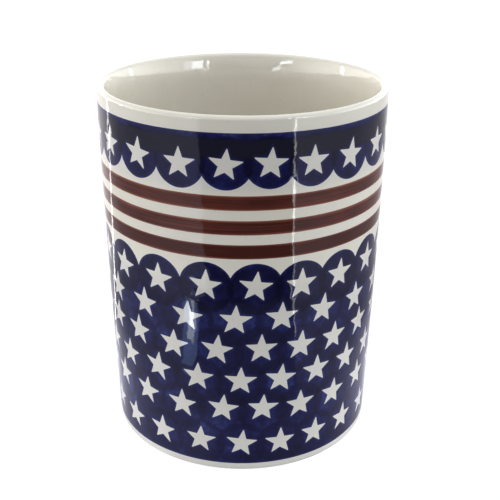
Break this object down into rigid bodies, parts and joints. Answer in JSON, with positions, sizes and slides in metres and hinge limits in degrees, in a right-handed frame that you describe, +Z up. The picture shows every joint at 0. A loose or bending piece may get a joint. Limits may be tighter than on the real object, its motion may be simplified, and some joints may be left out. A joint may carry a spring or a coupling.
{
  "type": "stoneware mug",
  "caption": "Tall straight-sided stoneware mug with no handle, cream glaze, cobalt star fields and brown stripes.",
  "frame": {"origin": "centre of the foot ring, on the plane the mug stands on", "axes": "+Z up the mug's axis to the rim; the front, where the stamping starts, faces -Y; +X to the right of the front"},
  "size_m": [0.1394, 0.1394, 0.178],
  "materials": {
    "bare_clay": "matte",
    "cream_glaze": "gloss",
    "cobalt_glaze": "gloss",
    "iron_glaze": "gloss"
  },
  "bodies": {
    "root": {"stoneware_body": "bare_clay", "glaze_coat": "cream_glaze", "base_glaze": "cream_glaze", "upper_star_band": "cobalt_glaze", "brown_stripe_upper": "iron_glaze", "brown_stripe_middle": "iron_glaze", "brown_stripe_lower": "iron_glaze", "lower_star_field": "cobalt_glaze"}
  },
  "joints": []
}
